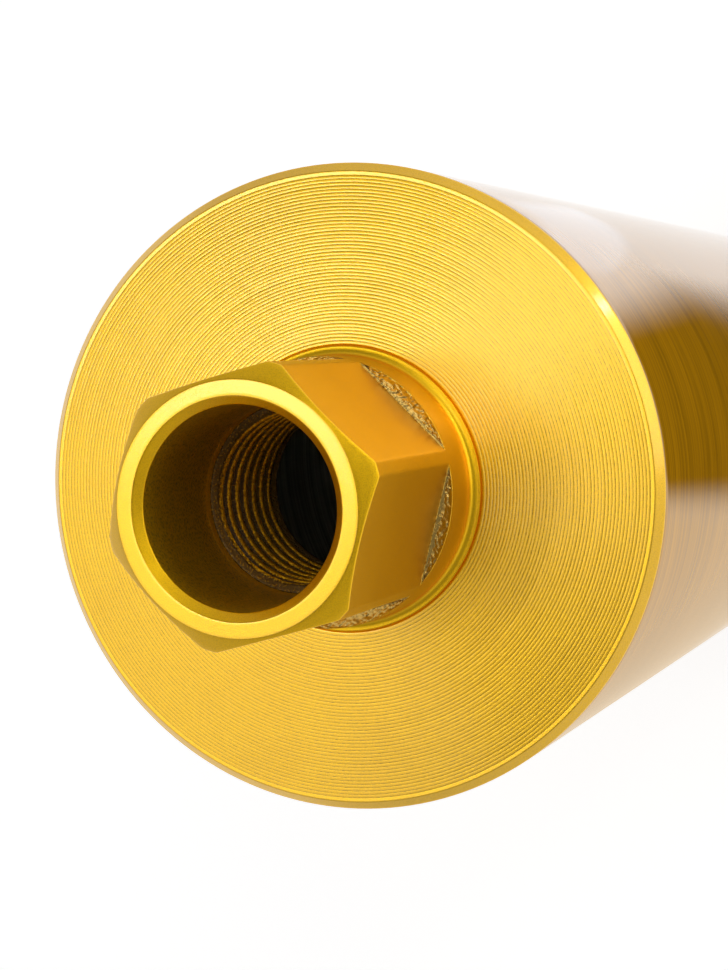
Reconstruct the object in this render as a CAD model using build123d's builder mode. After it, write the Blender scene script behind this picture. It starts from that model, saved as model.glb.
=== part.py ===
from build123d import *
from math import cos, degrees, radians, tan
import os

# Wet diamond core bit for a drill rig, 116 mm nominal, with a 1-1/4"-7 UNC female connection.
# Millimetres. The bit stands on its crown: the cutting faces of the segments lie on Z = 0,
# the bit's axis is +Z and the mouth of the threaded hub is at the top.

# ---------------------------------------------------------------- driving dimensions

# Barrel: a plain steel tube.
barrel_diameter = 112.0
barrel_wall = 2.0
drilling_depth = 450.0  # from the cutting faces to the underside of the end cap

# Crown: curved diamond segments welded on edge to the end of the barrel.
segment_count = 10
segment_length = 24.0  # along the arc at the middle of the barrel's wall
segment_height = 10.0
kerf_outside = 2.0  # how far a segment stands out past the barrel
kerf_inside = 0.5  # how far it stands in past the barrel's bore
segment_corner = 0.6  # radius of its upright corners

# End cap, flange: a turned plate that closes the barrel.
plate_thickness = 6.0
rim_height = 1.8  # full-diameter edge that sits on the barrel's end
rim_chamfer = 1.5
spigot_clearance = 0.1  # between the spigot and the barrel's bore

# End cap, hub: a round boss with a hexagon milled on it for a spanner.
hub_height = 49.0  # from the turned face to the mouth
hex_wall = 4.5  # from the pilot bore to a flat, which makes a hexagon for a 41 mm spanner
hex_corner_loss = 0.65  # how much the round boss takes off each corner of the hexagon
hex_foot = 10.8  # height above the turned face at which the milled flats stop
hex_chamfer_inset = 0.6  # from a flat to where the turned chamfer meets the mouth face
hex_chamfer_angle = 40.0  # measured from the mouth face
shoulder_width = 1.65  # low land round the foot of the boss
shoulder_height = 0.4
shoulder_edge = 0.15  # radius of the land's outer edge
root_fillet = 1.4  # between the land and the boss

# End cap, bore: a plain pilot bore, then the thread. The bore of the thread is
# its minor diameter, and its ridges are left to the finish.
thread_major_diameter = 31.75
thread_ridge = 1.775  # radial height of the thread's ridges
pilot_clearance = 0.1  # radial, over the thread's major diameter
pilot_depth = 28.0
pilot_corner = 0.4  # radius between the pilot bore and its floor
mouth_chamfer = 1.4
entry_chamfer = 0.6  # at the outer end of the thread
exit_chamfer = 1.5  # at the inner end of the thread

# ---------------------------------------------------------------- worked-out sizes

barrel_radius = barrel_diameter / 2
bore_radius = barrel_radius - barrel_wall
spigot_radius = bore_radius - spigot_clearance

segment_outer_radius = barrel_radius + kerf_outside
segment_inner_radius = bore_radius - kerf_inside
segment_middle_radius = barrel_radius - barrel_wall / 2
segment_half_angle = degrees(segment_length / 2 / segment_middle_radius)

spigot_foot = drilling_depth  # underside of the end cap
face_level = spigot_foot + plate_thickness
seat_level = face_level - rim_height  # where the rim rests on the barrel
mouth_level = face_level + hub_height
ledge_level = face_level + hex_foot

thread_radius = thread_major_diameter / 2 - thread_ridge
pilot_radius = thread_major_diameter / 2 + pilot_clearance
pilot_floor = mouth_level - pilot_depth

hex_flat_radius = pilot_radius + hex_wall
boss_radius = hex_flat_radius / cos(radians(30)) - hex_corner_loss
hex_chamfer_radius = hex_flat_radius - hex_chamfer_inset
hex_chamfer_drop = (boss_radius - hex_chamfer_radius) * tan(radians(hex_chamfer_angle))
shoulder_radius = boss_radius + shoulder_width

# ---------------------------------------------------------------- end cap

with BuildPart() as end_cap:
    # Half section, turned about the bit's axis. The path runs from the inner end of
    # the thread out over the spigot, rim, face, shoulder and boss, and back down the bore.
    with BuildSketch(Plane.XZ) as half_section:
        with BuildLine():
            Polyline(
                (thread_radius + exit_chamfer, spigot_foot),
                (spigot_radius, spigot_foot),
                (spigot_radius, seat_level),
                (barrel_radius, seat_level),
                (barrel_radius, face_level - rim_chamfer),
                (barrel_radius - rim_chamfer, face_level),
                (shoulder_radius, face_level),
                (shoulder_radius, face_level + shoulder_height),
                (boss_radius, face_level + shoulder_height),
                (boss_radius, mouth_level - hex_chamfer_drop),
                (hex_chamfer_radius, mouth_level),
                (pilot_radius + mouth_chamfer, mouth_level),
                (pilot_radius, mouth_level - mouth_chamfer),
                (pilot_radius, pilot_floor),
                (thread_radius + entry_chamfer, pilot_floor),
                (thread_radius, pilot_floor - entry_chamfer),
                (thread_radius, spigot_foot + exit_chamfer),
                close=True,
            )
        make_face()
        shoulder_corners = half_section.vertices().filter_by_position(
            Axis.Y, face_level + shoulder_height, face_level + shoulder_height
        )
        root_corner = shoulder_corners.sort_by(Axis.X)[0]
        edge_corner = shoulder_corners.sort_by(Axis.X)[-1]
        floor_corners = half_section.vertices().filter_by_position(
            Axis.Y, pilot_floor, pilot_floor
        )
        bore_corner = floor_corners.sort_by(Axis.X)[-1]
        fillet(root_corner, root_fillet)
        fillet(edge_corner, shoulder_edge)
        fillet(bore_corner, pilot_corner)
    revolve(axis=Axis.Z)

    # Six flats milled down the boss. Each stops at a ledge the shape of a circle's
    # segment, because the boss is rounder than the hexagon is wide.
    with BuildSketch(Plane.XY.offset(ledge_level)):
        Circle(2 * boss_radius)
        RegularPolygon(hex_flat_radius, 6, major_radius=False, mode=Mode.SUBTRACT)
    extrude(amount=mouth_level - ledge_level, mode=Mode.SUBTRACT)

# ---------------------------------------------------------------- barrel

with BuildPart() as barrel:
    with BuildSketch(Plane.XY.offset(segment_height)):
        Circle(barrel_radius)
        Circle(bore_radius, mode=Mode.SUBTRACT)
    extrude(amount=seat_level - segment_height)

# ---------------------------------------------------------------- crown segments


def crown_segment(middle_angle):
    """One diamond segment, centred on middle_angle round the crown."""
    first_angle = middle_angle - segment_half_angle
    with BuildPart() as segment:
        with BuildSketch():
            with BuildLine():
                outside = CenterArc((0, 0), segment_outer_radius, first_angle, 2 * segment_half_angle)
                inside = CenterArc((0, 0), segment_inner_radius, first_angle, 2 * segment_half_angle)
                Line(outside @ 0, inside @ 0)
                Line(outside @ 1, inside @ 1)
            make_face()
        extrude(amount=segment_height)
        fillet(segment.edges().filter_by(Axis.Z), segment_corner)
    return segment.part


# ---------------------------------------------------------------- pieces and files

pieces = {"end_cap": end_cap.part, "barrel": barrel.part}
for number in range(segment_count):
    pieces[f"segment_{number + 1:02d}"] = crown_segment(number * 360 / segment_count)

os.makedirs("parts", exist_ok=True)
for name, piece in pieces.items():
    piece.label = name
    export_step(piece, f"parts/{name}.step")
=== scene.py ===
import math
from random import Random

import bmesh
import bpy
import numpy as np
from mathutils import Matrix, Vector, noise


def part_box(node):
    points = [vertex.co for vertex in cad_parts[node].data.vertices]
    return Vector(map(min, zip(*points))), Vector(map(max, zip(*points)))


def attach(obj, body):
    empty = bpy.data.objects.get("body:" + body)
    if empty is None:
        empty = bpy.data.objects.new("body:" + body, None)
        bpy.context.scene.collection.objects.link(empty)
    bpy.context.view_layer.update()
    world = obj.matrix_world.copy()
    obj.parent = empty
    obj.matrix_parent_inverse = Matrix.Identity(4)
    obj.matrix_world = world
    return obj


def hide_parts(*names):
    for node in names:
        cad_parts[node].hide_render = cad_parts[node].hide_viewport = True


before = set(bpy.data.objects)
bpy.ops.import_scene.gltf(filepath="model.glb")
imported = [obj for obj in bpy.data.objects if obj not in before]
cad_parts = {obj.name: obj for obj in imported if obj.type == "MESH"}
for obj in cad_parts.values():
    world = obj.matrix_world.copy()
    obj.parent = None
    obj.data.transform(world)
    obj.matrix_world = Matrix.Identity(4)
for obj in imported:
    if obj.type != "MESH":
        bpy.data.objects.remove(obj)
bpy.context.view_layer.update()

# ---------------------------------------------------------------- sizes
# The scene is in metres. Sizes along the end cap are written in millimetres and
# scaled by MM, and heights are counted from the turned face of the end cap.

MM = 0.001
cap_low, cap_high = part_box("end_cap")
barrel_low, barrel_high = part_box("barrel")
_, segment_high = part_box("segment_01")

HUB_HEIGHT = 49.0
FACE_LEVEL = cap_high.z - HUB_HEIGHT * MM
BARREL_RADIUS = cap_high.x / MM
PLATE_THICKNESS = (FACE_LEVEL - cap_low.z) / MM
RIM_HEIGHT = (FACE_LEVEL - barrel_high.z) / MM
BARREL_WALL = 2.0
SPIGOT_RADIUS = BARREL_RADIUS - BARREL_WALL - 0.1
RIM_CHAMFER = 1.5

BOSS_RADIUS = 22.99
HEX_FLAT_RADIUS = 20.475
HEX_FOOT = 10.8
HEX_CHAMFER_RADIUS = 19.875
HEX_CHAMFER_SLOPE = math.tan(math.radians(40.0))
SHOULDER_RADIUS = BOSS_RADIUS + 1.65
SHOULDER_HEIGHT = 0.4
ROOT_FILLET = 1.4
SEAM_WIDTH = 0.3  # hairline groove between the turned face and the shoulder
SEAM_DEPTH = 0.3

PILOT_RADIUS = 15.975
PILOT_DEPTH = 28.0
PILOT_CORNER = 0.4
PILOT_GRAIN_HEIGHT = 2.1  # the lowest part of the pilot bore is rough
MOUTH_CHAMFER = 1.4
THREAD_MAJOR_RADIUS = 15.875
THREAD_MINOR_RADIUS = 14.1
THREAD_PITCH = 25.4 / 7
THREAD_START = math.radians(222.0)  # where the first ridge runs out through the pilot's floor
THREAD_ENTRY_RADIUS = 14.7
THREAD_EXIT_RADIUS = 15.6
THREAD_GOLD_DEPTH = 0.42  # the crests and this much of the flanks stay gold, and deeper down is painted shade

TURNED_PITCH = 0.585  # feed of the facing cut
TURNED_DEPTH = 0.038
# One groove of that cut: (share of the feed, share of the depth, painted shade on it).
# The tool leaves a saw-tooth, which falls gently towards the hub and then rises steeply.
TURNED_PROFILE = ((0.0, 0.0, 0.0), (0.8, 0.97, 0.0), (0.86, 1.0, 0.8))

SEGMENT_COUNT = 10
SEGMENT_HEIGHT = segment_high.z / MM
SEGMENT_OUTER_RADIUS = segment_high.x / MM
SEGMENT_INNER_RADIUS = BARREL_RADIUS - BARREL_WALL - 0.5
SEGMENT_MIDDLE_RADIUS = BARREL_RADIUS - BARREL_WALL / 2
SEGMENT_HALF_ANGLE = 12.0 / SEGMENT_MIDDLE_RADIUS
SEGMENT_EDGE = 0.5
SEGMENT_MESH_STEP = 0.62
SEGMENT_ROUGHNESS = 0.16
WELD_OUTSIDE = 0.5  # thickness of the weld seams on the two sides of the barrel
WELD_INSIDE = 0.36

# Edges of the mesh sharper than these angles, in degrees, are drawn sharp. The walls
# of the turned grooves stay below the end cap's.
CAP_SHARP_ANGLE = 55.0
BARREL_SHARP_ANGLE = 40.0
BARREL_COLUMN_STEP = 0.625  # degrees

# ---------------------------------------------------------------- mesh helpers


def clean(mesh, merge_distance):
    """Merges doubled points, turns every face outwards and shades it smooth."""
    shape = bmesh.new()
    shape.from_mesh(mesh)
    bmesh.ops.remove_doubles(shape, verts=shape.verts, dist=merge_distance)
    bmesh.ops.dissolve_degenerate(shape, edges=shape.edges, dist=1e-7)
    bmesh.ops.recalc_face_normals(shape, faces=shape.faces)
    for face in shape.faces:
        face.smooth = True
    loose = [vertex for vertex in shape.verts if not vertex.link_faces]
    bmesh.ops.delete(shape, geom=loose, context="VERTS")
    shape.to_mesh(mesh)
    shape.free()


def add_object(name, mesh):
    piece = bpy.data.objects.new(name, mesh)
    bpy.context.scene.collection.objects.link(piece)
    return piece


class Skin:
    """A closed surface put together from bands of points, which may differ in their columns."""

    def __init__(self):
        self.points, self.faces, self.masks, self.count = [], [], [], 0

    def band(self, rows, columns, closed=True, torn=0.0, bore=0.0, grain=0.0):
        """Adds rows of radius and height, in millimetres above the turned face.

        Gives the rings at both ends of the band, for join."""
        radius = np.array([row[0] for row in rows])
        height = np.array([row[1] for row in rows])
        grid = np.stack([radius * np.cos(columns), radius * np.sin(columns), height], axis=-1)
        masks = np.stack([np.broadcast_to(value, radius.shape) for value in (torn, bore, grain)], axis=-1)
        index = self.count + np.arange(radius.size).reshape(radius.shape)
        ahead = np.roll(index, -1, axis=1)
        corners = np.stack([index[:-1], ahead[:-1], ahead[1:], index[1:]], axis=-1)
        if not closed:
            corners = corners[:, :-1]
            index = index[:, :-1]
        self.faces += corners.reshape(-1, 4).tolist()
        self.points.append(grid.reshape(-1, 3))
        self.masks.append(masks.reshape(-1, 3))
        self.count += radius.size
        return index[0].tolist(), index[-1].tolist()

    def join(self, ring, other):
        """Faces between two rings, one of which may have several columns to each of the other's."""
        fine, coarse = (ring, other) if len(ring) >= len(other) else (other, ring)
        times = len(fine) // len(coarse)
        fine = fine + fine[:1]
        coarse = coarse + coarse[:1]
        for step in range(len(coarse) - 1):
            edge = fine[step * times:(step + 1) * times + 1]
            self.faces.append([coarse[step], coarse[step + 1], *reversed(edge)])

    def build(self, name, sharp_angle):
        """The finished piece, in metres, with its masks as point attributes."""
        mesh = bpy.data.meshes.new(name)
        points = (np.concatenate(self.points) + (0, 0, FACE_LEVEL / MM)) * MM
        mesh.from_pydata(points.tolist(), [], self.faces)
        masks = np.concatenate(self.masks)
        for number, mask_name in enumerate(("torn", "bore", "grain")):
            layer = mesh.attributes.new(mask_name, "FLOAT", "POINT")
            layer.data.foreach_set("value", masks[:, number].astype(np.float32))
        clean(mesh, 2e-7)
        mesh.set_sharp_from_angle(angle=math.radians(sharp_angle))
        return add_object(name, mesh)


def hexagon_columns():
    """Angles round the end cap, closer together at the hexagon's corners."""
    edge = math.degrees(math.acos(HEX_FLAT_RADIUS / BOSS_RADIUS))
    half = [*range(0, 25, 2), edge - 1.4, edge - 0.55, edge, edge + 0.55, edge + 1.5]
    offsets = sorted({-a for a in half} | set(half) | {30.0})
    return np.radians([30 + 60 * side + offset for side in range(6) for offset in offsets])


def finer(columns, times):
    """The same columns with each gap divided evenly."""
    gaps = (np.roll(columns, -1) - columns) % (2 * math.pi)
    return (columns[:, None] + gaps[:, None] * np.arange(times) / times).reshape(-1)


def ring(radius, height, columns):
    """One row of a turned surface: its radius and height for every column."""
    return np.broadcast_to(radius, columns.shape) * 1.0, np.broadcast_to(height, columns.shape) * 1.0


def corner(before, at, after, reach, steps=3):
    """Rows that round a corner of the section, by at most reach on each side."""
    at_r, at_z = at
    sides = []
    for other_r, other_z in (before, after):
        run_r, run_z = other_r - at_r, other_z - at_z
        length = np.maximum(np.hypot(run_r, run_z), 1e-9)
        share = np.minimum(reach / length, 0.4)
        sides.append((run_r * share, run_z * share))
    rows = []
    for step in range(steps + 1):
        t = step / steps
        start, end = (1 - t) ** 2, t**2
        rows.append((
            at_r + start * sides[0][0] + end * sides[1][0],
            at_z + start * sides[0][1] + end * sides[1][1],
        ))
    return rows


def between(first, last, shares):
    """Rows on the straight line from one row to another, at the given shares of the way."""
    return [(first[0] + (last[0] - first[0]) * s, first[1] + (last[1] - first[1]) * s) for s in shares]


def rough(columns, radius, height, grain, seed, octaves=3):
    """Noise from about -1 to 1 for every column of a row, with the given grain in millimetres."""
    radius, height = ring(radius, height, columns)
    values = []
    for a, r, z in zip(columns, radius, height):
        place = Vector((r * math.cos(a) / grain, r * math.sin(a) / grain, z / grain + 37.0 * seed))
        values.append(noise.fractal(place, 0.6, 2.0, octaves))
    return np.clip(np.array(values) * 1.4, -1, 1)


# ---------------------------------------------------------------- end cap


def hexagon_radius(columns):
    """Radius of the milled boss for every column: the flats, with the round boss at the corners."""
    from_flat = columns % math.radians(60) - math.radians(30)
    flat = HEX_FLAT_RADIUS / np.cos(from_flat)
    blend = 0.1
    share = np.clip(0.5 + 0.5 * (BOSS_RADIUS - flat) / blend, 0, 1)
    return flat * share + BOSS_RADIUS * (1 - share) - blend * share * (1 - share)


def turned_face_rows(columns, outer, inner, seed):
    """The facing cut: fine rings from the rim to the shoulder, each a little different."""
    chance = Random(seed)
    rows, darkness = [], []
    edge = outer
    while edge - TURNED_PITCH > inner:
        pitch = TURNED_PITCH * chance.uniform(0.97, 1.03)
        depth = TURNED_DEPTH * chance.uniform(0.88, 1.1)
        chatter = 1 + 0.08 * np.sin(columns * chance.randint(2, 7) + chance.uniform(0, 6.28))
        for share, sink, dark in TURNED_PROFILE:
            rows.append(ring(edge - share * pitch, -depth * sink * chatter, columns))
            darkness.append(dark)
        edge -= pitch
    rows.append(ring(edge, 0.0, columns))
    return rows, darkness + [0.0]


def thread_rows(columns):
    """The internal thread: its rows follow the helix and stop at both ends of the bore, chamfered there."""
    top, bottom = HUB_HEIGHT - PILOT_DEPTH, -PLATE_THICKNESS
    depth = THREAD_MAJOR_RADIUS - THREAD_MINOR_RADIUS
    flank = depth * math.tan(math.radians(30))
    root_half = THREAD_PITCH / 16
    crest_edge = THREAD_PITCH / 2 - root_half - flank
    # (height from the middle of a crest, share of the depth)
    profile = [(0.0, 0.0), (crest_edge - 0.1, 0.0), (crest_edge + 0.03, 0.04), (crest_edge + 0.14, 0.13)]
    profile += [(crest_edge + flank * share, share) for share in (0.24, 0.4, 0.65)]
    profile += [(THREAD_PITCH / 2 - root_half - 0.08, 0.93), (THREAD_PITCH / 2 - root_half + 0.05, 1.0)]
    turn = profile + [(THREAD_PITCH - at, share) for at, share in reversed(profile[1:])]
    entry_depth = THREAD_ENTRY_RADIUS - THREAD_MINOR_RADIUS
    rows, root_shades = [], []
    for number in range(-2, math.ceil((top - bottom) / THREAD_PITCH) + 1):
        for at, share in turn:
            rise = THREAD_PITCH * (columns - THREAD_START) / (2 * math.pi)
            height = np.clip(top - number * THREAD_PITCH - at + rise, bottom, top)
            entry = THREAD_MINOR_RADIUS + entry_depth - (top - height)
            exit_cone = THREAD_EXIT_RADIUS - (height - bottom)
            deepest = np.minimum(THREAD_MAJOR_RADIUS, THREAD_EXIT_RADIUS + 0.3 * (height - bottom))
            deepest = np.minimum(deepest, THREAD_ENTRY_RADIUS + 1.5 * (top - height))
            radius = np.minimum(THREAD_MINOR_RADIUS + depth * share, deepest)
            radius = np.maximum(np.maximum(radius, entry), exit_cone)
            # painted shade: none on the crests, full deeper down the flanks and in the roots
            coating = np.clip((radius - THREAD_MINOR_RADIUS) / THREAD_GOLD_DEPTH, 0, 1) ** 2
            fade = np.clip((1.0 - height) / 4.5, 0, 1)  # painted shade, darker towards the inner end of the bore
            rows.append((radius, height))
            root_shades.append(np.maximum(coating, fade))
    return rows, np.array(root_shades)


def torn_ledge_rows(columns):
    """Where the milled flats run out into the round boss: torn ledges, each with a burr at its flat."""
    boss = hexagon_radius(columns)
    ledge = BOSS_RADIUS - boss
    on_flat = np.clip(ledge / 0.5, 0, 1)
    side = np.floor(columns / math.radians(60))

    def grain(size, seed, octaves=3):
        return rough(columns, boss, HEX_FOOT, size, seed, octaves)

    rows, torn = [], []

    def add(radius, height, mask):
        climb = 0.015 * len(rows) * (1 - on_flat)  # keeps the rows apart where the ledge has no width
        rows.append(ring(radius, height + climb, columns))
        torn.append(np.broadcast_to(mask, columns.shape) * 1.0)

    for drop in (0.75, 0.5, 0.35):
        add(BOSS_RADIUS, HEX_FOOT - drop, 0.0)
    add(BOSS_RADIUS - 0.03 * on_flat, HEX_FOOT - 0.2 + 0.13 * on_flat, 0.15 * on_flat)
    lip = 0.5 + 0.5 * grain(0.7, 1)
    add(BOSS_RADIUS - 0.1 * on_flat, HEX_FOOT - 0.2 + on_flat * (0.2 + 0.05 * lip), 0.5 * on_flat)
    for number, share in enumerate((0.1, 0.2, 0.3, 0.4, 0.5, 0.6, 0.7, 0.8)):
        surface = 0.12 * grain(0.55, 3 + 0.31 * number) - 0.1 * (1 - (2 * share - 1) ** 2)
        radius = BOSS_RADIUS - 0.1 * on_flat - (ledge - 0.1 * on_flat) * share * 0.95
        radius += 0.04 * on_flat * grain(0.4, 9 + number, 2)
        add(radius, HEX_FOOT - 0.2 + on_flat * (0.2 + surface), on_flat)
    burr = np.clip(0.55 + 0.45 * grain(0.9, 21), 0.15, 1) * (0.75 + 0.25 * np.sin(2.1 * side))
    jag = grain(0.35, 23, 2)
    low = HEX_FOOT - 0.2
    add(boss + 0.3 * on_flat, low + on_flat * (0.25 + 0.05 * jag), on_flat)
    add(boss + (0.24 + 0.05 * jag) * on_flat, low + on_flat * (0.2 + 0.3 * burr), on_flat)
    add(boss + (0.13 + 0.03 * jag) * on_flat, low + on_flat * (0.2 + 0.36 * burr), on_flat)
    add(boss + 0.03 * on_flat, low + on_flat * (0.4 + 0.12 * jag), 0.7 * on_flat)
    add(boss - 0.04 * on_flat, low + on_flat * (0.55 + 0.06 * jag), 0.3 * on_flat)
    add(boss, low + 0.15 + 0.7 * on_flat, 0.0)
    add(boss, low + 0.25 + 1.2 * on_flat, 0.0)
    return rows, np.array(torn)


def end_cap_piece():
    columns = hexagon_columns()
    fine_columns = finer(columns, 4)
    boss = hexagon_radius(columns)
    chamfer_foot = HUB_HEIGHT - (boss - HEX_CHAMFER_RADIUS) * HEX_CHAMFER_SLOPE

    def at(radius, height):
        return ring(radius, height, columns)

    exit_edge = at(THREAD_EXIT_RADIUS, -PLATE_THICKNESS)
    spigot_foot = at(SPIGOT_RADIUS, -PLATE_THICKNESS)
    spigot_top = at(SPIGOT_RADIUS, -RIM_HEIGHT)
    rim_back = at(BARREL_RADIUS, -RIM_HEIGHT)
    rim_front = at(BARREL_RADIUS, -RIM_CHAMFER)
    face_edge = at(BARREL_RADIUS - RIM_CHAMFER, 0.0)
    seam_out = at(SHOULDER_RADIUS + SEAM_WIDTH, 0.0)
    seam_foot = at(SHOULDER_RADIUS + 0.08, -SEAM_DEPTH)
    shoulder_edge = at(SHOULDER_RADIUS, SHOULDER_HEIGHT)
    root = at(BOSS_RADIUS, SHOULDER_HEIGHT)
    ledge_foot = (boss, np.full_like(boss, HEX_FOOT))
    flat_top = (boss, chamfer_foot)
    ring_outer = at(HEX_CHAMFER_RADIUS, HUB_HEIGHT)
    ring_inner = at(PILOT_RADIUS + MOUTH_CHAMFER, HUB_HEIGHT)
    pilot_top = at(PILOT_RADIUS, HUB_HEIGHT - MOUTH_CHAMFER)
    pilot_floor = HUB_HEIGHT - PILOT_DEPTH
    pilot_grain = at(PILOT_RADIUS, pilot_floor + PILOT_GRAIN_HEIGHT)
    pilot_foot = at(PILOT_RADIUS, pilot_floor)
    thread_entry = at(THREAD_ENTRY_RADIUS, pilot_floor)

    flange = between(exit_edge, spigot_foot, (0.01, 0.03, 0.5))
    flange += corner(exit_edge, spigot_foot, spigot_top, 0.3)
    flange += between(spigot_foot, spigot_top, (0.5,))
    flange += [spigot_top]
    flange += corner(spigot_top, rim_back, rim_front, 0.12, 2)
    flange += corner(rim_back, rim_front, face_edge, 0.12, 2)
    flange += between(rim_front, face_edge, (0.12, 0.5, 0.88))
    flange += corner(rim_front, face_edge, seam_out, 0.12, 3)
    grooves, groove_darkness = turned_face_rows(
        columns, BARREL_RADIUS - RIM_CHAMFER - 0.2, SHOULDER_RADIUS + SEAM_WIDTH + 0.1, 11)
    # painted shade on the steep walls of the turned grooves
    flange_bore = [0.0] * len(flange) + groove_darkness
    flange += grooves
    flange += corner(face_edge, seam_out, seam_foot, 0.08, 2)
    flange += corner(seam_out, seam_foot, shoulder_edge, 0.06, 2)
    flange += corner(seam_foot, shoulder_edge, root, 0.18, 3)
    centre_r, centre_z = BOSS_RADIUS + ROOT_FILLET, SHOULDER_HEIGHT + ROOT_FILLET
    for turn in np.radians(np.linspace(0, 90, 9)):
        flange.append(at(centre_r - ROOT_FILLET * math.sin(turn), centre_z - ROOT_FILLET * math.cos(turn)))
    flange += [at(BOSS_RADIUS, height) for height in (4.5, 7.5, HEX_FOOT - 1.2)]
    flange_bore += [0.0] * (len(flange) - len(flange_bore))
    ledges, torn = torn_ledge_rows(fine_columns)
    hexagon = between(ledge_foot, flat_top, (0.08, 0.3, 0.55, 0.8, 0.985))
    hexagon += corner(ledge_foot, flat_top, ring_outer, 0.15, 3)
    hexagon += between(flat_top, ring_outer, (0.3, 0.7))
    hexagon += corner(flat_top, ring_outer, ring_inner, 0.12, 3)
    hexagon += between(ring_outer, ring_inner, (0.2, 0.8))
    hexagon += corner(ring_outer, ring_inner, pilot_top, 0.12, 3)
    hexagon += between(ring_inner, pilot_top, (0.2, 0.8))
    # down the bore, with the painted shade (bore) and how granular (grain) the coating is on each row
    mouth = corner(ring_inner, pilot_top, pilot_foot, 0.12, 3)
    bore, grain = [0.0, 0.0, 0.15, 0.24], [0.0] * 4
    mouth += between(pilot_top, pilot_grain, (0.02, 0.35, 0.65, 0.9))
    bore += [0.24] * 4
    grain += [0.0] * 4
    mouth += between(pilot_grain, pilot_foot, (-0.9, -0.4, 0.0, 0.15, 0.5, 0.75))
    bore += [0.24, 0.24, 0.2, 0.05, 0.0, 0.0]
    grain += [0.0, 0.1, 0.4, 1.0, 1.0, 1.0]
    mouth += corner(pilot_grain, pilot_foot, thread_entry, PILOT_CORNER, 4)
    bore += [0.0, 0.2, 0.9, 0.9, 0.9]
    mouth += between(pilot_foot, thread_entry, (0.5, 0.97))
    bore += [0.9, 0.9]
    grain += [1.0, 0.8, 0.5, 0.5, 0.5, 0.5, 0.5]
    bore, grain = np.array(bore)[:, None], np.array(grain)[:, None]
    thread_columns = np.append(columns, columns[0] + 2 * math.pi)
    thread, thread_bore = thread_rows(thread_columns)

    skin = Skin()
    bands = [
        skin.band(flange, columns, bore=np.array(flange_bore)[:, None]),
        skin.band(ledges, fine_columns, torn=torn),
        skin.band(hexagon, columns),
        skin.band(mouth, columns, bore=bore, grain=grain),
        skin.band(thread, thread_columns, closed=False, bore=thread_bore, grain=1.0),
    ]
    for (_, last), (first, _) in zip(bands, bands[1:] + bands[:1]):
        skin.join(last, first)
    return skin.build("end_cap_finished", CAP_SHARP_ANGLE)


# ---------------------------------------------------------------- barrel


def barrel_piece():
    columns = np.radians(np.arange(0, 360, BARREL_COLUMN_STEP))
    top = (barrel_high.z - FACE_LEVEL) / MM
    foot = (barrel_low.z - FACE_LEVEL) / MM
    inside = BARREL_RADIUS - BARREL_WALL

    def at(radius, height):
        return ring(radius, height, columns)

    top_inside, top_outside = at(inside, top), at(BARREL_RADIUS, top)
    foot_inside, foot_outside = at(inside, foot), at(BARREL_RADIUS, foot)
    wall = corner(foot_inside, foot_outside, top_outside, 0.25, 3)
    wall += between(foot_outside, top_outside, np.linspace(0.004, 0.996, 30))
    wall += corner(foot_outside, top_outside, top_inside, 0.2, 3)
    core = corner(top_outside, top_inside, foot_inside, 0.15, 2)
    core += between(top_inside, foot_inside, (0.004, 0.25, 0.5, 0.75, 0.996))
    core += corner(top_inside, foot_inside, foot_outside, 0.15, 2)
    skin = Skin()
    bands = [skin.band(wall, columns), skin.band(core, columns, bore=1.0)]
    skin.join(bands[0][1], bands[1][0])
    skin.join(bands[1][1], bands[0][0])
    return skin.build("barrel_finished", BARREL_SHARP_ANGLE)


# ---------------------------------------------------------------- crown


def rounded_block(half_sizes, edge, step):
    """Points, outward directions and faces of a block with rounded edges, about its middle."""
    def lines(half):
        inner = half - edge
        steps = max(2, round(2 * inner / step))
        middle = np.linspace(-inner, inner, steps + 1)
        return np.concatenate([[-half, -half + 0.3 * edge], middle, [half - 0.3 * edge, half]])

    grids = [lines(half) for half in half_sizes]
    points, faces, start = [], [], 0
    for axis in range(3):
        first, second = (axis + 1) % 3, (axis + 2) % 3
        u, v = np.meshgrid(grids[first], grids[second], indexing="ij")
        for sign in (-1, 1):
            side = np.zeros(u.shape + (3,))
            side[..., axis], side[..., first], side[..., second] = sign * half_sizes[axis], u, v
            index = start + np.arange(u.size).reshape(u.shape)
            quads = np.stack([index[:-1, :-1], index[1:, :-1], index[1:, 1:], index[:-1, 1:]], axis=-1)
            quads = quads.reshape(-1, 4)
            faces += (quads if sign > 0 else quads[:, ::-1]).tolist()
            points.append(side.reshape(-1, 3))
            start += u.size
    points = np.concatenate(points)
    core = np.clip(points, -(np.array(half_sizes) - edge), np.array(half_sizes) - edge)
    outward = (points - core) / np.linalg.norm(points - core, axis=1, keepdims=True)
    return core + outward * edge, outward, faces


def crown_point(angle, radius, height):
    return (radius * math.cos(angle) * MM, radius * math.sin(angle) * MM, height * MM)


def weld_bead(points, faces, middle, radius, height, thickness, seed):
    """A rippled seam along one segment, a closed tube tapered at both ends."""
    along, around = 72, 8
    half = SEGMENT_HALF_ANGLE - math.radians(0.4)
    start = len(points)
    chance = Random(seed)
    for step in range(along + 1):
        share = step / along
        angle = middle - half + 2 * half * share
        taper = math.sqrt(max(0.02, 1 - (2 * share - 1) ** 8))
        swell = thickness * taper * (1 + 0.16 * math.sin(step * 1.57) + chance.uniform(-0.06, 0.06))
        wander = chance.uniform(-0.04, 0.04)
        for turn in range(around):
            t = 2 * math.pi * turn / around
            out, up = radius + wander + swell * math.cos(t), height + swell * math.sin(t)
            points.append(crown_point(angle, out, up))
    for step in range(along):
        for turn in range(around):
            near, far = start + step * around, start + (step + 1) * around
            ahead = (turn + 1) % around
            faces.append((near + turn, near + ahead, far + ahead, far + turn))
    faces.append(tuple(start + turn for turn in reversed(range(around))))
    faces.append(tuple(start + along * around + turn for turn in range(around)))


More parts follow.
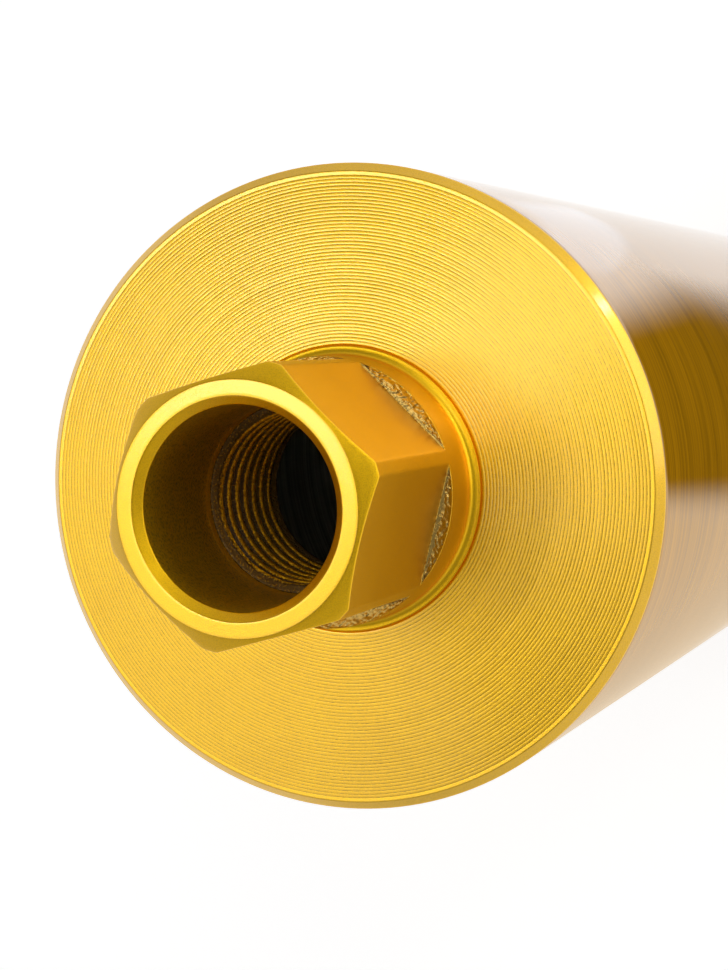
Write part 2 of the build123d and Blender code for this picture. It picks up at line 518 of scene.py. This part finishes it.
def crown_piece():
    """The ten segments, rough from sintering, with their weld seams."""
    half_length = SEGMENT_HALF_ANGLE * SEGMENT_MIDDLE_RADIUS
    half_width = (SEGMENT_OUTER_RADIUS - SEGMENT_INNER_RADIUS) / 2
    half_sizes = (half_length, half_width, SEGMENT_HEIGHT / 2)
    block, outward, block_faces = rounded_block(half_sizes, SEGMENT_EDGE, SEGMENT_MESH_STEP)
    points, faces = [], []
    for number in range(SEGMENT_COUNT):
        middle = 2 * math.pi * number / SEGMENT_COUNT
        start = len(points)
        for (x, y, z), (out_x, out_y, out_z) in zip(block, outward):
            place = Vector((x, y, z))
            grain = noise.fractal(place / 0.7 + Vector((11.0 * number, 0, 0)), 0.8, 2.1, 3)
            sink = SEGMENT_ROUGHNESS * (0.5 - 0.5 * max(-1.0, min(1.0, 1.5 * grain)))
            points.append(crown_point(
                middle + (x - out_x * sink) / SEGMENT_MIDDLE_RADIUS,
                (SEGMENT_OUTER_RADIUS + SEGMENT_INNER_RADIUS) / 2 + y - out_y * sink,
                SEGMENT_HEIGHT / 2 + z - out_z * sink,
            ))
        faces += [[start + corner_index for corner_index in face] for face in block_faces]
    matrix_faces = len(faces)
    for number in range(SEGMENT_COUNT):
        middle = 2 * math.pi * number / SEGMENT_COUNT
        level = SEGMENT_HEIGHT + 0.1
        weld_bead(points, faces, middle, BARREL_RADIUS + 0.12, level, WELD_OUTSIDE, 40 + number)
        weld_bead(points, faces, middle, BARREL_RADIUS - BARREL_WALL + 0.02, level, WELD_INSIDE, 60 + number)
    mesh = bpy.data.meshes.new("crown_finished")
    mesh.from_pydata(points, [], faces)
    mesh.polygons.foreach_set("material_index", [0 if i < matrix_faces else 1 for i in range(len(faces))])
    clean(mesh, 1e-6)
    return add_object("crown_finished", mesh)


# ---------------------------------------------------------------- materials

GOLD = (0.98, 0.56, 0.008)
GOLD_WORN = (0.6, 0.38, 0.09)
# the colour of the painted shade in the bore, the thread and the turned grooves
PAINTED_SHADE_BROWN = (0.10, 0.06, 0.012)
TUBE_GOLD = (0.62, 0.3, 0.006)
TUBE_SHEEN = (0.75, 0.4, 0.02)
BARE_STEEL = (0.55, 0.57, 0.5)
MATRIX_DARK, MATRIX_PALE = (0.16, 0.15, 0.14), (0.34, 0.32, 0.3)
DIAMOND_GRIT = (0.55, 0.53, 0.4)
WELD_BLUE, WELD_STRAW = (0.3, 0.27, 0.25), (0.42, 0.33, 0.2)

NOISE_SPAN = (0.3, 0.7)  # where most values of a noise texture lie
NOISE_CORE = (0.35, 0.65)

def new_material(name):
    material = bpy.data.materials.new(name)
    material.use_nodes = True
    nodes = material.node_tree.nodes
    return material, nodes, material.node_tree.links, nodes["Principled BSDF"]


def add_noise(nodes, links, vector, scale, detail=3.0, roughness=0.5):
    grain = nodes.new("ShaderNodeTexNoise")
    grain.inputs["Scale"].default_value = scale
    grain.inputs["Detail"].default_value = detail
    grain.inputs["Roughness"].default_value = roughness
    links.new(vector, grain.inputs["Vector"])
    return grain.outputs["Fac"]


def remap(nodes, links, value, low, high, from_low=0.0, from_high=1.0):
    node = nodes.new("ShaderNodeMapRange")
    node.inputs["From Min"].default_value = from_low
    node.inputs["From Max"].default_value = from_high
    node.inputs["To Min"].default_value = low
    node.inputs["To Max"].default_value = high
    links.new(value, node.inputs["Value"])
    return node.outputs["Result"]


def combine(nodes, links, operation, first, second):
    node = nodes.new("ShaderNodeMath")
    node.operation = operation
    for socket, value in zip(node.inputs, (first, second)):
        if isinstance(value, (int, float)):
            socket.default_value = value
        else:
            links.new(value, socket)
    return node.outputs[0]


def mix_colors(nodes, links, factor, first, second):
    node = nodes.new("ShaderNodeMix")
    node.data_type = "RGBA"
    links.new(factor, node.inputs["Factor"])
    for socket, value in ((node.inputs["A"], first), (node.inputs["B"], second)):
        if isinstance(value, tuple):
            socket.default_value = (*value, 1)
        else:
            links.new(value, socket)
    return node.outputs["Result"]


def mask(nodes, name):
    node = nodes.new("ShaderNodeAttribute")
    node.attribute_name = name
    return node.outputs["Fac"]


# (name, metallic, clear coat) of the turned face, rim and mouth ring, of the hub's sides and of the bore
CAP_GOLDS = (
    ("gold_coating_turned", 1.0, 1.0),
    ("gold_coating_milled", 1.0, 0.15),
    ("gold_coating_bore", 0.75, 0.1),
)


def cap_material(name, metallic, coat):
    """Satin gold coating on turned steel: painted shade down the bore, in the thread's roots and on the
    turned grooves' steep walls, granular on the thread, worn where torn.
    """
    material, nodes, links, shader = new_material(name)
    shader.inputs["Metallic"].default_value = metallic
    shader.inputs["Coat Weight"].default_value = coat
    shader.inputs["Coat IOR"].default_value = 1.55
    shader.inputs["Coat Roughness"].default_value = 0.14
    place = nodes.new("ShaderNodeTexCoord").outputs["Object"]
    fine = add_noise(nodes, links, place, 5200.0, 2.0)
    coarse = add_noise(nodes, links, place, 2600.0, 2.0)
    broad = add_noise(nodes, links, place, 90.0, 3.0)
    torn, bore, grain = mask(nodes, "torn"), mask(nodes, "bore"), mask(nodes, "grain")
    # the edge of the painted shade is ragged
    ragged = combine(nodes, links, "ADD", bore, remap(nodes, links, coarse, -0.25, 0.25, *NOISE_SPAN))
    ragged = combine(nodes, links, "MULTIPLY", ragged, remap(nodes, links, bore, 0.0, 1.0, 0.0, 0.12))
    shade = combine(nodes, links, "MULTIPLY", remap(nodes, links, fine, 0.86, 1.1, *NOISE_SPAN),
                    remap(nodes, links, broad, 0.97, 1.03, *NOISE_SPAN))
    # painted shade: the gold turns dark brown where the bore mask is high
    plain = mix_colors(nodes, links, remap(nodes, links, ragged, 0.0, 1.0, 0.15, 0.85), GOLD, PAINTED_SHADE_BROWN)
    colored = mix_colors(nodes, links, torn, plain, GOLD_WORN)
    tint = nodes.new("ShaderNodeVectorMath")
    tint.operation = "SCALE"
    links.new(colored, tint.inputs[0])
    links.new(shade, tint.inputs["Scale"])
    links.new(tint.outputs["Vector"], shader.inputs["Base Color"])
    rough = remap(nodes, links, fine, 0.28, 0.36, *NOISE_SPAN)
    rough = combine(nodes, links, "ADD", rough, combine(nodes, links, "MULTIPLY", grain, 0.06))
    rough = combine(nodes, links, "SUBTRACT", rough, combine(nodes, links, "MULTIPLY", torn, 0.1))
    links.new(rough, shader.inputs["Roughness"])
    relief = combine(nodes, links, "MULTIPLY", coarse, combine(nodes, links, "MULTIPLY", grain, 12.0))
    bump = nodes.new("ShaderNodeBump")
    bump.inputs["Strength"].default_value = 1.0
    bump.inputs["Distance"].default_value = 0.00003
    links.new(combine(nodes, links, "ADD", fine, relief), bump.inputs["Height"])
    links.new(bump.outputs["Normal"], shader.inputs["Normal"])
    return material


def barrel_material():
    """Clear-coated gold tube, glossy, its colour lighter and darker in fine bands round it as painted
    reflection streaks, and bare dark steel inside.
    """
    material, nodes, links, shader = new_material("barrel_coating_gloss")
    shader.inputs["Metallic"].default_value = 0.3
    shader.inputs["Specular IOR Level"].default_value = 0.0
    shader.inputs["Specular Tint"].default_value = (*TUBE_SHEEN, 1)
    shader.inputs["Coat Weight"].default_value = 1.0
    shader.inputs["Coat IOR"].default_value = 1.75
    shader.inputs["Coat Roughness"].default_value = 0.06
    place = nodes.new("ShaderNodeTexCoord").outputs["Object"]
    stretch = nodes.new("ShaderNodeMapping")
    stretch.inputs["Scale"].default_value = (12.0, 12.0, 900.0)
    links.new(place, stretch.inputs["Vector"])
    streaks = add_noise(nodes, links, stretch.outputs["Vector"], 1.0, 3.0)
    broad = add_noise(nodes, links, place, 25.0, 3.0)
    # painted reflection: fine bands round the tube scale its colour from 0.75 to 1.25, and the broad noise
    # is random tone
    shade = combine(nodes, links, "MULTIPLY", remap(nodes, links, streaks, 0.75, 1.25, *NOISE_SPAN),
                    remap(nodes, links, broad, 0.93, 1.07, *NOISE_SPAN))
    tint = nodes.new("ShaderNodeVectorMath")
    tint.operation = "SCALE"
    links.new(mix_colors(nodes, links, mask(nodes, "bore"), TUBE_GOLD, BARE_STEEL), tint.inputs[0])
    links.new(shade, tint.inputs["Scale"])
    links.new(tint.outputs["Vector"], shader.inputs["Base Color"])
    links.new(remap(nodes, links, streaks, 0.38, 0.5, *NOISE_SPAN), shader.inputs["Roughness"])
    return material


def matrix_material():
    """Sintered metal matrix with diamond grit standing out of it."""
    material, nodes, links, shader = new_material("diamond_matrix_sintered")
    shader.inputs["Metallic"].default_value = 0.75
    place = nodes.new("ShaderNodeTexCoord").outputs["Object"]
    grit = nodes.new("ShaderNodeTexVoronoi")
    grit.inputs["Scale"].default_value = 1500.0
    links.new(place, grit.inputs["Vector"])
    stain = add_noise(nodes, links, place, 260.0, 4.0, 0.65)
    stained = remap(nodes, links, stain, 0.0, 1.0, *NOISE_CORE)
    ground = mix_colors(nodes, links, stained, MATRIX_DARK, MATRIX_PALE)
    stone = remap(nodes, links, grit.outputs["Distance"], 1.0, 0.0, 0.12, 0.26)
    shown = combine(nodes, links, "MULTIPLY", stone, 0.6)
    links.new(mix_colors(nodes, links, shown, ground, DIAMOND_GRIT), shader.inputs["Base Color"])
    links.new(remap(nodes, links, stain, 0.45, 0.7, *NOISE_SPAN), shader.inputs["Roughness"])
    bump = nodes.new("ShaderNodeBump")
    bump.inputs["Strength"].default_value = 0.8
    bump.inputs["Distance"].default_value = 0.00012
    relief = combine(nodes, links, "ADD", stain, combine(nodes, links, "MULTIPLY", stone, 0.7))
    links.new(relief, bump.inputs["Height"])
    links.new(bump.outputs["Normal"], shader.inputs["Normal"])
    return material


def weld_material():
    """Weld metal with straw and blue heat tints."""
    material, nodes, links, shader = new_material("weld_seam")
    shader.inputs["Metallic"].default_value = 0.9
    place = nodes.new("ShaderNodeTexCoord").outputs["Object"]
    tinge = add_noise(nodes, links, place, 420.0, 3.0)
    tinted = remap(nodes, links, tinge, 0.0, 1.0, *NOISE_CORE)
    links.new(mix_colors(nodes, links, tinted, WELD_BLUE, WELD_STRAW), shader.inputs["Base Color"])
    links.new(remap(nodes, links, tinge, 0.3, 0.5, *NOISE_SPAN), shader.inputs["Roughness"])
    return material


def assign_cap_materials(end_cap):
    """One gold for the turned face, rim and mouth ring, one for the hub's sides and one for the bore."""
    for name, metallic, coat in CAP_GOLDS:
        end_cap.data.materials.append(cap_material(name, metallic, coat))
    mouth_face = FACE_LEVEL + (HUB_HEIGHT - 0.05) * MM
    for polygon in end_cap.data.polygons:
        out = math.hypot(polygon.center.x, polygon.center.y) / MM
        if out < PILOT_RADIUS + 0.02:
            polygon.material_index = 2
        elif out < SHOULDER_RADIUS + SEAM_WIDTH and polygon.center.z < mouth_face:
            polygon.material_index = 1


# ---------------------------------------------------------------- stage, lights and camera

FLOOR_HALF = 1.5
FLOOR_COLOR = (0.8, 0.8, 0.8)
FLOOR_GLOW = 0.64
CEILING_LIGHT = 0.265
CEILING_SPAN = (0.1, 0.45)  # of a direction's Z, over which the horizon turns into the ceiling
HORIZON_LIGHT = (0.48, 1.0)  # towards -X and towards +X
HORIZON_SPAN = (-0.4, 0.7)  # of a direction's X
SOFTBOX_DISTANCE = 0.9
# (name, azimuth and elevation from the end cap in degrees, brightness, size in metres)
SOFTBOXES = (
    ("key_light", 186, 54, 0.58, (0.92, 0.62)),
    ("spark_light", 154, 70, 3.5, (0.19, 0.17)),
    ("fill_light", 45, 42, 0.8, (0.4, 0.35)),
    ("bore_light", 32, 62, 2.6, (0.22, 0.2)),
    ("zenith_light", 180, 87, 0.75, (0.3, 0.3)),
    ("top_light", 75, 76, 1.3, (0.3, 0.25)),
    ("side_light", 8, 12, 1.1, (0.7, 0.22)),
    ("glint_light", 26, 10.5, 14.0, (0.06, 0.05)),
)
# (name, place, size, colour, how soft its edges are), lying just above the floor and facing up
REFLECTION_CARDS = (
    ("dark_side", (0.16, 0.005, 0.002), (0.2, 0.23), (0.0, 0.0, 0.0), 0.45),
    ("warm_side", (0.02, -0.16, 0.003), (0.5, 0.2), (0.88, 0.73, 0.54), 0.4),
    ("bright_side", (0.03, 0.136, 0.004), (0.13, 0.036), (1.2, 1.24, 1.3), 0.35),
)
# measured from the middle of the turned face
CAMERA_PLACE = Vector((0.13623, -0.01155, 0.37400))
CAMERA_LOOK = Vector((-0.33364, 0.02827, -0.94228))
CAMERA_UP = Vector((0.25855, 0.96397, -0.06262))
FOCAL_PIXELS = 2309.4
FRAME_LONG_SIDE = 970
SENSOR_SIZE = 36.0


def flat_square(name, half):
    mesh = bpy.data.meshes.new(name)
    corners = [(-half, -half, 0), (half, -half, 0), (half, half, 0), (-half, half, 0)]
    mesh.from_pydata(corners, [], [(0, 1, 2, 3)])
    return add_object(name, mesh)


def add_floor():
    """A plain pale floor, which glows a little where it is seen but lights nothing by that."""
    floor = flat_square("floor", FLOOR_HALF)
    material, nodes, links, shader = new_material("floor")
    shader.inputs["Base Color"].default_value = (*FLOOR_COLOR, 1)
    shader.inputs["Roughness"].default_value = 0.7
    shader.inputs["Specular IOR Level"].default_value = 0.2
    # painted shade: the floor doesn't glow inside the ring of segments, where the barrel is dark
    glow = nodes.new("ShaderNodeEmission")
    distance = nodes.new("ShaderNodeVectorMath")
    distance.operation = "LENGTH"
    links.new(nodes.new("ShaderNodeTexCoord").outputs["Object"], distance.inputs[0])
    outside = combine(nodes, links, "GREATER_THAN", distance.outputs["Value"], SEGMENT_OUTER_RADIUS * MM)
    glowing = combine(nodes, links, "MULTIPLY", seen_directly(nodes, links), outside)
    links.new(remap(nodes, links, glowing, 0.0, FLOOR_GLOW), glow.inputs["Strength"])
    add = nodes.new("ShaderNodeAddShader")
    links.new(shader.outputs["BSDF"], add.inputs[0])
    links.new(glow.outputs["Emission"], add.inputs[1])
    links.new(add.outputs["Shader"], nodes["Material Output"].inputs["Surface"])
    floor.data.materials.append(material)


def seen_directly(nodes, links):
    """1 for camera, glossy and transmission rays, and 0 for the light that falls on things."""
    rays = nodes.new("ShaderNodeLightPath").outputs
    seen = combine(nodes, links, "MAXIMUM", rays["Is Camera Ray"], rays["Is Glossy Ray"])
    return combine(nodes, links, "MAXIMUM", seen, rays["Is Transmission Ray"])


def add_softbox(name, azimuth, elevation, radiance, size):
    """A softbox aimed at the end cap, given by the brightness of its face rather than by its power."""
    turn, rise = math.radians(azimuth), math.radians(elevation)
    away = Vector((math.cos(rise) * math.cos(turn), math.cos(rise) * math.sin(turn), math.sin(rise)))
    data = bpy.data.lights.new(name, "AREA")
    data.shape = "RECTANGLE"
    data.size, data.size_y = size
    data.energy = 4 * size[0] * size[1] * radiance
    light = add_object(name, data)
    light.location = Vector((0, 0, FACE_LEVEL)) + SOFTBOX_DISTANCE * away
    light.rotation_mode = "QUATERNION"
    light.rotation_quaternion = (-away).to_track_quat("-Z", "Y")


def add_reflection_card(name, place, size, color, softness):
    """A studio card that only reflections see, plain in the middle and fading out at its edges."""
    card = flat_square(name, 1)
    card.scale = (size[0] / 2, size[1] / 2, 1)
    card.location = place
    material, nodes, links, _ = new_material(name)
    axes = nodes.new("ShaderNodeSeparateXYZ")
    links.new(nodes.new("ShaderNodeTexCoord").outputs["Object"], axes.inputs["Vector"])
    inside = []
    for axis in ("X", "Y"):
        out = combine(nodes, links, "ABSOLUTE", axes.outputs[axis], 0.0)
        inside.append(combine(nodes, links, "SUBTRACT", 1.0, out))
    edge = nodes.new("ShaderNodeMapRange")
    edge.interpolation_type = "SMOOTHSTEP"
    edge.inputs["From Max"].default_value = softness
    links.new(combine(nodes, links, "MINIMUM", *inside), edge.inputs["Value"])
    glow = nodes.new("ShaderNodeEmission")
    glow.inputs["Color"].default_value = (*color, 1)
    clear = nodes.new("ShaderNodeBsdfTransparent")
    blend = nodes.new("ShaderNodeMixShader")
    links.new(edge.outputs["Result"], blend.inputs["Fac"])
    links.new(clear.outputs["BSDF"], blend.inputs[1])
    links.new(glow.outputs["Emission"], blend.inputs[2])
    links.new(blend.outputs["Shader"], nodes["Material Output"].inputs["Surface"])
    card.data.materials.append(material)
    card.visible_camera = card.visible_diffuse = card.visible_shadow = False
    card.visible_transmission = card.visible_volume_scatter = False


def add_world():
    """White to the camera, and to the object a white horizon under a dimmer ceiling."""
    world = bpy.data.worlds.new("studio")
    bpy.context.scene.world = world
    world.use_nodes = True
    nodes, links = world.node_tree.nodes, world.node_tree.links
    background = nodes["Background"]
    background.inputs["Color"].default_value = (1, 1, 1, 1)
    axes = nodes.new("ShaderNodeSeparateXYZ")
    links.new(nodes.new("ShaderNodeTexCoord").outputs["Generated"], axes.inputs["Vector"])
    horizon = remap(nodes, links, axes.outputs["X"], *HORIZON_LIGHT, *HORIZON_SPAN)
    ceiling = nodes.new("ShaderNodeMapRange")
    ceiling.interpolation_type = "SMOOTHSTEP"
    ceiling.inputs["From Min"].default_value, ceiling.inputs["From Max"].default_value = CEILING_SPAN
    ceiling.inputs["To Max"].default_value = CEILING_LIGHT
    links.new(horizon, ceiling.inputs["To Min"])
    links.new(axes.outputs["Z"], ceiling.inputs["Value"])
    rays = nodes.new("ShaderNodeLightPath").outputs
    seen = combine(nodes, links, "MAXIMUM", rays["Is Camera Ray"], rays["Is Transmission Ray"])
    strength = combine(nodes, links, "MAXIMUM", seen, ceiling.outputs["Result"])
    links.new(strength, background.inputs["Strength"])


def add_camera():
    data = bpy.data.cameras.new("camera")
    data.sensor_width = SENSOR_SIZE
    data.lens = FOCAL_PIXELS * SENSOR_SIZE / FRAME_LONG_SIDE
    data.clip_start = 0.01
    camera = add_object("camera", data)
    back = -CAMERA_LOOK.normalized()
    right = CAMERA_UP.cross(back).normalized()
    up = back.cross(right)
    turn = Matrix((right, up, back)).transposed().to_4x4()
    camera.matrix_world = Matrix.Translation(Vector((0, 0, FACE_LEVEL)) + CAMERA_PLACE) @ turn
    bpy.context.scene.camera = camera


# ---------------------------------------------------------------- putting it together

end_cap = end_cap_piece()
assign_cap_materials(end_cap)
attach(end_cap, "root")
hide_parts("end_cap")

barrel = barrel_piece()
barrel.data.materials.append(barrel_material())
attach(barrel, "root")
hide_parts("barrel")

crown = crown_piece()
crown.data.materials.append(matrix_material())
crown.data.materials.append(weld_material())
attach(crown, "root")
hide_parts(*(f"segment_{number + 1:02d}" for number in range(SEGMENT_COUNT)))

add_floor()
add_world()
add_camera()
for softbox in SOFTBOXES:
    add_softbox(*softbox)
for card in REFLECTION_CARDS:
    add_reflection_card(*card)

bpy.context.scene.view_settings.view_transform = "Standard"
